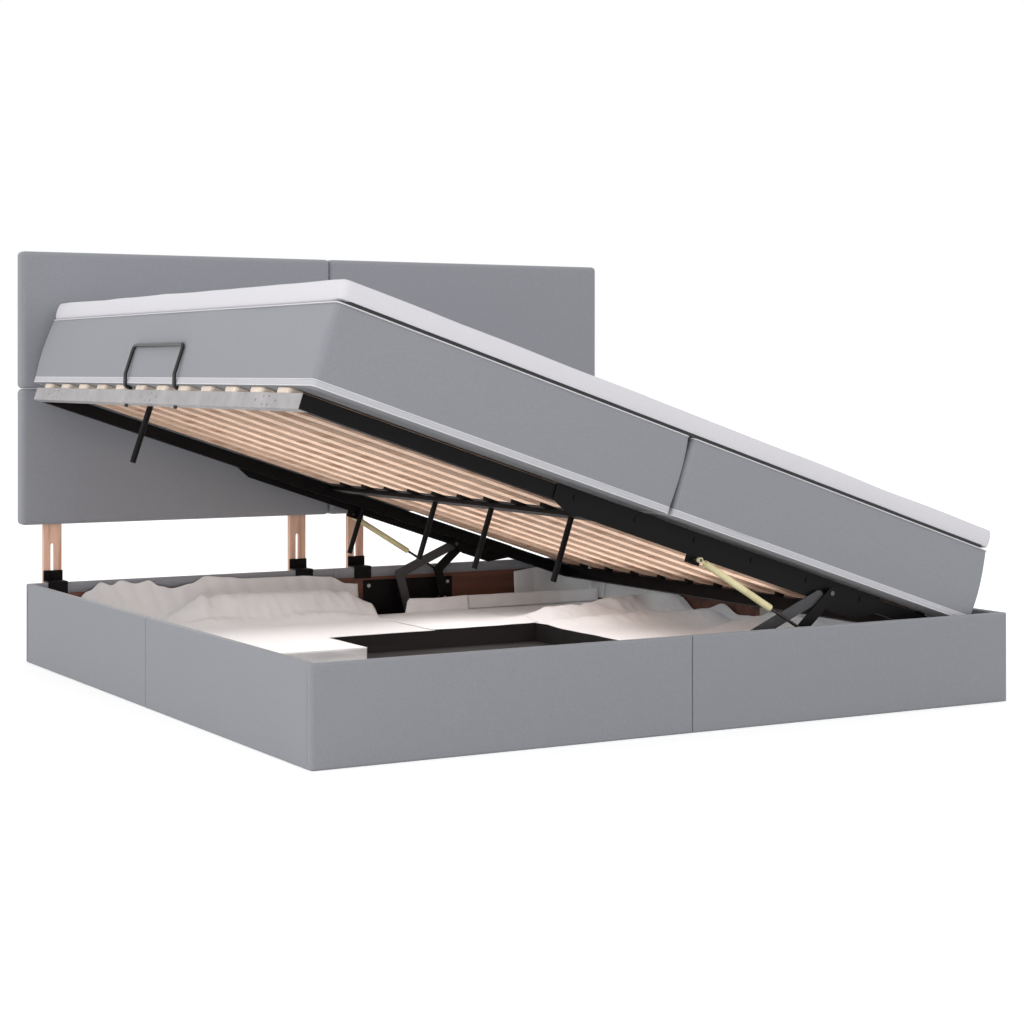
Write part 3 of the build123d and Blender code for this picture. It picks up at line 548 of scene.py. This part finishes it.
def make_head_pad(name):
    """One closed headboard pad, on the body of its half."""
    low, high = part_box(name)
    half_x, half_z, depth = (high.x - low.x) / 2, (high.z - low.z) / 2, high.y - low.y
    centre_x, centre_z = (low.x + high.x) / 2, (low.z + high.z) / 2
    front = depth - pad_crown
    stations = [(back_inset, 0.0), (back_rounding, 0.0), (0.0, back_rounding)]
    for step in range(1, pad_side_steps + 1):
        stations.append((0.0, (front - pad_roll) * step / pad_side_steps))
    for step in range(1, pad_roll_steps + 1):
        angle = step / pad_roll_steps * math.pi / 2
        stations.append((pad_roll * (1 - math.cos(angle)),
                         front - pad_roll + pad_roll * math.sin(angle)))
    flat = min(half_x, half_z) - pad_roll
    for step in range(1, pad_face_steps + 1):
        stations.append((pad_roll + flat * 0.97 * step / pad_face_steps, front))
    rings = []
    for inset, height in stations:
        loop = rounded_loop(half_x - inset, half_z - inset, max(pad_roll - inset, 0.0005), 40, 18)
        ring = []
        for x, z, _, _ in loop:
            crown = pad_crown * (1 - abs(x / half_x) ** 6) * (1 - abs(z / half_z) ** 4)
            share = min(1.0, max(0.0, (height - front + pad_roll) / pad_roll))
            soft = noise.noise(Vector((x * 4, z * 6, centre_x * 9 + centre_z * 5))) * pad_unevenness
            ring.append((centre_x + x, high.y - height - share * (crown + soft), centre_z + z))
        rings.append(ring)
    body = "headboard_left" if "left" in name else "headboard_right"
    pad = add_piece(name + "_fabric", *joined_rings(rings), headboard_cloth, body, "headboard_fabric")
    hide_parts(name)


for pad_node in sorted(nodes):
    if pad_node.startswith("headboard_pad"):
        make_head_pad(pad_node)


# Mattresses: barrel sides, a light piping round the top and a double band round the bottom

mattress_low = 0.0528
mattress_high = 0.2543
mattress_foot = 0.020
mattress_head = 2.053
mattress_spans = {"left": (-0.010, 1.0055), "right": (1.0062, 2.022)}
mattress_corner = 0.018
mattress_draw = 0.006
mattress_rim = 0.006
mattress_face_inset = 0.05
mattress_unevenness = 0.0012
side_steps = 14
piping_radius = 0.0018
thin_piping_radius = piping_radius * 0.9
piping_sink = 0.0005
band_height = 0.007
band_depth = 0.0016


def make_mattress(side):
    """One mattress, with the cords and the band that edge it."""
    start, stop = mattress_spans[side]
    half_u, half_v = (stop - start) / 2, (mattress_head - mattress_foot) / 2
    middle = Matrix.Translation(((start + stop) / 2, (mattress_foot + mattress_head) / 2, 0))
    height = mattress_high - mattress_low
    rim = [(mattress_face_inset, 0.0), (mattress_draw + 0.012, 0.0), (mattress_draw + 0.004, 0.0015),
           (mattress_draw, mattress_rim)]
    stations = list(rim)
    for step in range(1, side_steps):
        share = step / side_steps
        stations.append((mattress_draw * (2 * share - 1) ** 2,
                         mattress_rim + (height - 2 * mattress_rim) * share))
    stations += [(inset, height - rise) for inset, rise in reversed(rim)]
    rings = []
    for inset, rise in stations:
        loop = rounded_loop(half_u - inset, half_v - inset, max(mattress_corner - inset, 0.002), 40, 80)
        ring = []
        for x, y, nx, ny in loop:
            soft = noise.noise(Vector((x * 5, y * 5, rise * 9 + start))) * mattress_unevenness
            ring.append((x + nx * soft, y + ny * soft, mattress_low + rise))
        rings.append(ring)
    matrix = lid_matrix @ middle
    body = add_piece("mattress_" + side + "_body", *joined_rings(rings), mattress_cloth, "lid",
                     "mattress_fabric", matrix)
    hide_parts("mattress_" + side)
    edgings = {"top": (mattress_high - 0.003, piping_radius, piping_radius, piping_cloth),
               "band": (mattress_low + 0.009, band_depth, band_height, band_cloth),
               "border": (mattress_low + 0.0165, thin_piping_radius, thin_piping_radius, piping_cloth),
               "low": (mattress_low + 0.002, thin_piping_radius, thin_piping_radius, piping_cloth)}
    inset = mattress_draw - piping_sink
    loop = rounded_loop(half_u - inset, half_v - inset, mattress_corner - inset, 40, 80)
    for edging, (level, out, rise, cloth) in edgings.items():
        add_piece("mattress_" + side + "_piping_" + edging, *loop_tube(loop, level, out, rise),
                  cloth, "lid", "mattress_fabric", matrix)


make_mattress("left")
make_mattress("right")


# Topper: one soft slab over both mattresses, rolled at its edges

topper_low = 0.2546
topper_thickness = 0.053
topper_span = (-0.006, 2.018)
topper_corner = 0.020
# The dark tape lies in the lifted gap under the topper's foot edge, as painted shade.
shade_tape_lift = 0.0005
shade_tape_set_back = 0.0035
shade_tape_depth = 0.01
shade_tape_end_gap = 0.03
topper_unevenness = 0.003
topper_edge_wave = 0.0016
topper_settle = 0.003
foot_gap_rise = 0.006
foot_gap_depth = 0.05
roll_steps = 12
face_steps = 23


def make_topper():
    """The topper, with a dark tape in the gap under its foot edge, painted shade of that gap."""
    start, stop = topper_span
    half_u, half_v = (stop - start) / 2, (mattress_head - mattress_foot) / 2
    middle = Matrix.Translation(((start + stop) / 2, (mattress_foot + mattress_head) / 2, 0))
    roll = topper_thickness / 2
    stations = [(0.06, 0.0), (roll * 0.6, 0.0)]
    for step in range(1, roll_steps):
        angle = -math.pi / 2 + step / roll_steps * math.pi
        stations.append((roll * 0.3 * (1 - math.cos(angle)), roll + roll * 0.98 * math.sin(angle)))
    flat = half_u - roll
    for step in range(face_steps + 1):
        stations.append((roll * 0.3 + (flat * 0.97) * step / face_steps,
                         topper_thickness - topper_settle))
    rings = []
    for inset, rise in stations:
        loop = rounded_loop(half_u - inset, half_v - inset, max(topper_corner - inset, 0.004), 60, 60)
        ring = []
        for x, y, nx, ny in loop:
            share = rise / topper_thickness
            soft = noise.noise(Vector((x * 4, y * 4, 2.0))) * topper_unevenness * share
            edge = noise.noise(Vector((x * 9, y * 9, 5.0))) * topper_edge_wave
            near_foot = max(0.0, 1 - (y + half_v) / foot_gap_depth) ** 0.5
            lifted = max(rise, foot_gap_rise * near_foot)
            ring.append((x + nx * edge, y + ny * edge, topper_low + lifted + soft))
        rings.append(ring)
    topper = add_piece("topper_body", *joined_rings(rings), topper_cloth, "lid", "topper_fabric",
                       lid_matrix @ middle)
    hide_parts("topper")
    # A dark tape in the gap under the foot edge, painting the shade of that gap.
    shade_tape_low, shade_tape_high = topper_low + shade_tape_lift, topper_low + foot_gap_rise
    near, far = mattress_foot + shade_tape_set_back, mattress_foot + shade_tape_set_back + shade_tape_depth
    left, right = start + shade_tape_end_gap, stop - shade_tape_end_gap
    corners = [(u, y, z) for z in (shade_tape_low, shade_tape_high)
               for u, y in ((left, near), (right, near), (right, far), (left, far))]
    faces = [[0, 1, 2, 3], [4, 5, 6, 7], [0, 1, 5, 4], [1, 2, 6, 5], [2, 3, 7, 6], [3, 0, 4, 7]]
    add_piece("topper_gap_shade_tape", corners, faces, gap_shade_cloth, "lid", "topper_fabric", lid_matrix, False)


make_topper()


# Moulded slat caps

slat_count = 12
slat_first = 0.190
slat_pitch = 0.156
middle_beam_place = 1.030
cap_length = 0.042
cap_width = 0.072
cap_low = 0.037
cap_height = 0.0155
cap_corner = 0.010
cap_roll = 0.005
cap_bevel = 0.001
cap_roll_steps = 5


def cap_rings(start, stop, centre):
    """Rings up one cap, rounded over at its top edge."""
    half_u, half_v = (stop - start) / 2, cap_width / 2
    rings = []
    stations = [(cap_bevel, 0.0), (0.0, cap_bevel), (0.0, cap_height - cap_roll)]
    for step in range(1, cap_roll_steps + 1):
        angle = step / cap_roll_steps * math.pi / 2
        stations.append((cap_roll * (1 - math.cos(angle)),
                         cap_height - cap_roll * (1 - math.sin(angle))))
    for inset, rise in stations:
        loop = rounded_loop(half_u - inset, half_v - inset, cap_corner - inset, 4, 4, 5)
        rings.append([((start + stop) / 2 + x, centre + y, cap_low + rise) for x, y, _, _ in loop])
    return rings


def make_caps(name, spans, material):
    """All the caps at the given spans along the platform, a row to each slat, as one piece."""
    points = []
    faces = []
    for row in range(slat_count):
        centre = slat_first + row * slat_pitch
        for start, stop in spans:
            more_points, more_faces = joined_rings(cap_rings(start, stop, centre))
            shift = len(points)
            points += more_points
            faces += [[index + shift for index in face] for face in more_faces]
    caps = add_piece(name, points, faces, material, "lid", "cap_plastic", lid_matrix)
    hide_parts("slat_caps")


make_caps("slat_caps_light", [(0, cap_length)], cap_plastic)
make_caps("slat_caps_dark", [(middle_beam_place - cap_length, middle_beam_place + cap_length),
                             (lid_length - cap_length, lid_length)], black_plastic)


# Storage liner: thin cloth sheets on the raised floors and hung on the walls, in the base's places

liner_thickness = 0.0014
floor_top = 0.0886
wall_thickness = 0.020
head_wall = base_length - wall_thickness
right_wall = base_width - wall_thickness
head_channel = 0.085
wall_foot = head_wall - 0.022
right_bay_start = 1.4615
fine_lift = 0.002

# Tops of the cloth on the head and right walls, as (place, height)
head_wall_tops = ((0.02, 0.118), (0.12, 0.150), (0.19, 0.208), (0.228, 0.233), (0.262, 0.222),
                  (0.292, 0.236), (0.34, 0.224), (0.383, 0.232), (0.42, 0.212), (0.46, 0.203),
                  (0.52, 0.214), (0.573, 0.236), (0.64, 0.229), (0.712, 0.222), (0.90, 0.221),
                  (1.0, 0.214), (1.065, 0.189), (1.1, 0.186))
right_wall_tops = ((0.02, 0.12), (0.40, 0.128), (0.62, 0.154), (0.732, 0.171), (0.823, 0.172),
                   (1.0, 0.140), (1.10, 0.120), (1.179, 0.115), (1.266, 0.142), (1.36, 0.118),
                   (1.443, 0.107), (1.51, 0.130), (1.545, 0.180), (1.80, 0.183), (2.06, 0.183))

# Bunched cloth, as lines of (x, y, height over the floor, width)
left_heap = (((0.46, 2.02, 0.035, 0.045), (0.54, 2.00, 0.078, 0.05), (0.64, 1.99, 0.088, 0.055),
              (0.74, 1.98, 0.096, 0.06), (0.83, 1.98, 0.098, 0.06), (0.93, 1.97, 0.080, 0.055),
              (1.03, 1.96, 0.066, 0.05), (1.09, 1.95, 0.040, 0.04)),
             ((0.44, 1.94, 0.012, 0.04), (0.58, 1.93, 0.024, 0.04), (0.74, 1.92, 0.018, 0.04),
              (0.86, 1.90, 0.026, 0.04), (0.98, 1.89, 0.020, 0.04), (1.07, 1.88, 0.010, 0.03)))
right_heap = (((1.46, 1.60, 0.008, 0.06), (1.56, 1.58, 0.030, 0.07), (1.69, 1.56, 0.036, 0.08),
               (1.78, 1.55, 0.052, 0.09), (1.90, 1.54, 0.056, 0.09), (1.985, 1.52, 0.052, 0.08)),
              ((1.54, 1.44, 0.012, 0.07), (1.66, 1.38, 0.024, 0.07), (1.82, 1.36, 0.026, 0.08),
               (1.95, 1.27, 0.030, 0.07)),
              ((1.86, 0.98, 0.030, 0.07), (1.95, 0.86, 0.060, 0.08), (1.99, 0.76, 0.050, 0.08)))


def between(stops, place):
    """A height read off a line of stops, eased between them."""
    for (a, low), (b, high) in zip(stops, stops[1:]):
        if place <= b:
            share = min(1.0, max(0.0, (place - a) / (b - a)))
            share = share * share * (3 - 2 * share)
            return low + (high - low) * share
    return stops[-1][1]


def creases(x, y, seed, scale):
    """Sharp creases, as the ridges of a noise."""
    flow = noise.noise(Vector((x * scale * 0.4, y * scale * 0.4, seed + 3.0))) * 0.6
    first = 1 - abs(noise.noise(Vector((x * scale + flow, y * scale * 0.7, seed)))) * 2.4
    second = 1 - abs(noise.noise(Vector((x * scale * 2.1, y * scale * 2.3 + flow, seed + 9.0)))) * 2.4
    return max(first, -0.4) * 0.65 + max(second, -0.4) * 0.35


def heaped(lines, x, y):
    """Height of bunched cloth that follows lines of (x, y, height, width)."""
    best = 0.0
    for line in lines:
        for (xa, ya, ha, wa), (xb, yb, hb, wb) in zip(line, line[1:]):
            run = (xb - xa) ** 2 + (yb - ya) ** 2
            share = min(1.0, max(0.0, ((x - xa) * (xb - xa) + (y - ya) * (yb - ya)) / run))
            gap = math.hypot(x - xa - (xb - xa) * share, y - ya - (yb - ya) * share)
            width = wa + (wb - wa) * share
            best = max(best, (ha + (hb - ha) * share) * math.exp(-(gap / width) ** 2))
    return best


under_rail = 0.1815
under_plate = 0.160
rail_edge = 1.983
plate_end = 0.695
right_wall_limit = 0.183
left_seed = 2.0
right_seed = 6.0


def closed_room(x, y):
    """Highest the cloth may be, under the closed platform's rail and deep plate."""
    across = min(1.0, max(0.0, (y - rail_edge) / 0.014))
    along = min(1.0, max(0.0, (x - plate_end) / 0.025))
    return under_rail - (under_rail - under_plate) * across * along


def floor_cloth(x, y, lines, seed):
    """Height of the cloth over a raised floor."""
    heap = heaped(lines, x, y)
    calm = 0.0016 * max(0.0, creases(x, y, seed, 3.0)) + 0.0006
    fine = 0.006 * min(1.0, heap / 0.03) * creases(x, y, seed + 7.0, 26.0)
    height = floor_top + calm + heap * (1 + 0.22 * creases(x, y, seed + 5.0, 13.0)) + fine
    return min(height, closed_room(x, y))


def cloth_grid(name, place, count_a, count_b, kept=None):
    """A thin closed sheet over a grid of places, each from two shares, less the cells not kept."""
    top = [[Vector(place(a / count_a, b / count_b)) for a in range(count_a + 1)]
           for b in range(count_b + 1)]
    points = []
    for level in (0, 1):
        for b in range(count_b + 1):
            for a in range(count_a + 1):
                along = top[b][min(a + 1, count_a)] - top[b][max(a - 1, 0)]
                down = top[min(b + 1, count_b)][a] - top[max(b - 1, 0)][a]
                normal = along.cross(down).normalized()
                points.append(top[b][a] + normal * liner_thickness * level)
    wide = count_a + 1
    shift = wide * (count_b + 1)
    faces = []
    rim = set()
    for b in range(count_b):
        for a in range(count_a):
            if kept and not kept((a + 0.5) / count_a, (b + 0.5) / count_b):
                continue
            i = b * wide + a
            loop = [i, i + wide, i + wide + 1, i + 1]
            faces.append(loop)
            faces.append([j + shift for j in reversed(loop)])
            for pair in zip(loop, loop[1:] + loop[:1]):
                if pair[::-1] in rim:
                    rim.remove(pair[::-1])
                else:
                    rim.add(pair)
    for i, j in sorted(rim):
        faces.append([j, i, i + shift, j + shift])
    used = sorted({index for face in faces for index in face})
    place_of = {index: new for new, index in enumerate(used)}
    points = [points[index] for index in used]
    faces = [[place_of[index] for index in face] for face in faces]
    sheet = add_piece(name, points, faces, liner_cloth, "root", "liner_fabric", base_matrix)
    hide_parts("storage_liner")


head_sheet_left = 0.028
head_sheet_right = 1.104
head_sheet_step = 0.745
low_front = 1.2405
high_front = 1.502
front_hang = 0.050
wall_share = 0.19
front_share = 0.94


def head_sheet(a, b):
    """Cloth from the top of the head wall down to the floor and forward to the floor's edge."""
    x = head_sheet_left + (head_sheet_right - head_sheet_left) * a
    top = between(head_wall_tops, x)
    if b < wall_share:
        share = b / wall_share
        z = top + (floor_top + 0.02 - top) * share
        sway = 3 * noise.noise(Vector((x * 3, z * 6, 1.0)))
        pleat = 0.0035 * math.sin(x * 52 + sway) * (1 - 0.5 * share)
        y = head_wall - 0.006 - 0.016 * share ** 2 - abs(pleat)
        heap = floor_cloth(x, wall_foot, left_heap, left_seed)
        return x, y, max(z, min(heap, top))
    if b < front_share:
        share = (b - wall_share) / (front_share - wall_share)
        y = wall_foot + (low_front - wall_foot) * share
        return x, y, floor_cloth(x, y, left_heap, left_seed)
    share = (b - front_share) / (1 - front_share)
    sway = 0.003 * noise.noise(Vector((x * 9, share * 2, 4.0)))
    z = floor_cloth(x, low_front, left_heap, left_seed) - front_hang * share
    return x, low_front - 0.002 - abs(sway), z


def head_sheet_kept(a, b):
    """The cloth's front edge steps back where the well begins."""
    x = head_sheet_left + (head_sheet_right - head_sheet_left) * a
    y = wall_foot + (low_front - wall_foot) * (b - wall_share) / (front_share - wall_share)
    return x < head_sheet_step or y > high_front


head_flap_left = 1.094
head_flap_right = 1.470
flap_start = 1.238
flap_share = 0.12
flap_height = 0.046
flap_ripple = 0.003
overlap_rise = 0.0022


def flap_sheet(a, b):
    """Cloth of the middle of the head floor, turned up before the head channel."""
    x = head_flap_left + (head_flap_right - head_flap_left) * a
    flap = head_wall - head_channel - 0.004
    start = min(1.0, max(0.0, (x - flap_start) / 0.006))
    wave = 0.005 * noise.noise(Vector((x * 7, 1.0, 0.0)))
    top = floor_top + fine_lift + (flap_height + wave) * start
    if b < flap_share:
        share = b / flap_share
        ripple = flap_ripple * math.sin(x * 41)
        z = top + (floor_top + fine_lift - top) * share
        return x, flap - 0.003 - 0.006 * share - abs(ripple), z
    share = (b - flap_share) / (1 - flap_share)
    y = flap - 0.012 + (high_front - flap + 0.012) * share
    return x, y, floor_cloth(x, y, right_heap, right_seed) + overlap_rise


right_sheet_foot = 0.034
right_floor_share = 0.78
right_turn = right_wall - 0.020


def right_sheet(a, b):
    """Cloth of the right floor, turned up against the right wall."""
    y = head_wall - head_channel - 0.008 + (right_sheet_foot - head_wall + 0.093) * b
    if a < right_floor_share:
        x = right_bay_start + (right_turn - right_bay_start) * a / right_floor_share
        return x, y, floor_cloth(x, y, right_heap, right_seed)
    share = (a - right_floor_share) / (1 - right_floor_share)
    x = right_turn + 0.014 * (1 - (1 - share) ** 2)
    ripple = 0.003 * math.sin(y * 47 + 2 * noise.noise(Vector((y * 4, share, 2.0))))
    low = floor_cloth(right_turn, y, right_heap, right_seed)
    top = between(right_wall_tops, y) + 0.003 * creases(y, share, 1.0, 18.0)
    top = min(max(top, low + fine_lift), right_wall_limit)
    return x - abs(ripple) * share, y, low + (top - low) * share


right_flap_stop = 1.985
right_flap_height = 0.047


def right_flap_sheet(a, b):
    """Cloth turned up before the head channel in the right bay."""
    x = right_bay_start + (right_flap_stop - right_bay_start) * a
    y = head_wall - head_channel - 0.003 - abs(flap_ripple * math.sin(x * 41))
    top = floor_top + right_flap_height + 0.004 * noise.noise(Vector((x * 7, 1.0, 0.0)))
    return x, y, top + (floor_top + 0.001 - top) * b


corner_start = 1.697
corner_turn = 1.990
corner_bend = 0.014
corner_wall = head_wall - 0.006
corner_stop = 1.955
corner_height = 0.199
corner_side_height = 0.182


def corner_sheet(a, b):
    """Cloth hung high on the head wall, round the head-right corner and along the right wall."""
    front = corner_turn - corner_start
    bend = corner_bend * math.pi / 2
    side = corner_wall - corner_bend - corner_stop
    run = a * (front + bend + side)
    near_corner = min(1.0, max(0.0, 1 - abs(run - front) / 0.03))
    ripple = abs(0.004 * math.sin(run * 40)) * (1 - near_corner)
    lean = ripple + 0.01 * b * b
    top = corner_height + 0.010 * math.sin(min(1.0, run / 0.15) * math.pi / 2)
    top += 0.004 * noise.noise(Vector((run * 6, 0, 0)))
    top -= (top - corner_side_height) * min(1.0, max(0.0, (run - front) / (bend + 0.012)))
    z = top + (floor_top + 0.012 - top) * b
    if run < front:
        return corner_start + run, corner_wall - lean, z
    if run < front + bend:
        turn = (run - front) / corner_bend
        out = corner_bend - lean
        return corner_turn + out * math.sin(turn), corner_wall - corner_bend + out * math.cos(turn), z
    along = run - front - bend
    x = corner_turn + corner_bend + 0.005 * along / side - lean
    return x, corner_wall - corner_bend - along, z


left_wall_foot = 1.250
left_wall_head = 2.028
left_wall_top = 0.160
foot_wall_start = 1.70
foot_wall_run = 0.28
foot_wall_top = 0.165


def left_wall_sheet(a, b):
    """Cloth hung on the left wall, over the left floor."""
    y = left_wall_foot + (left_wall_head - left_wall_foot) * a
    top = left_wall_top + 0.008 * noise.noise(Vector((y * 5, 0, 3.0)))
    ripple = abs(0.003 * math.sin(y * 44))
    return 0.026 + ripple, y, top + (floor_top + 0.012 - top) * b


def foot_wall_sheet(a, b):
    """Cloth hung on the foot wall, in the right bay."""
    x = foot_wall_start + foot_wall_run * a
    ripple = abs(0.003 * math.sin(x * 44))
    z = foot_wall_top - 0.01 * a + (floor_top + 0.014 - foot_wall_top) * b
    return x, 0.029 + ripple, z


cloth_grid("liner_left", head_sheet, 134, 150,
           head_sheet_kept)
cloth_grid("liner_head_flap", flap_sheet, 48, 60)
cloth_grid("liner_right", right_sheet, 80, 220)
cloth_grid("liner_right_flap", right_flap_sheet, 60, 6)
cloth_grid("liner_corner", corner_sheet, 60, 16)
cloth_grid("liner_left_wall", left_wall_sheet, 70, 8)
cloth_grid("liner_foot_wall", foot_wall_sheet, 30, 8)
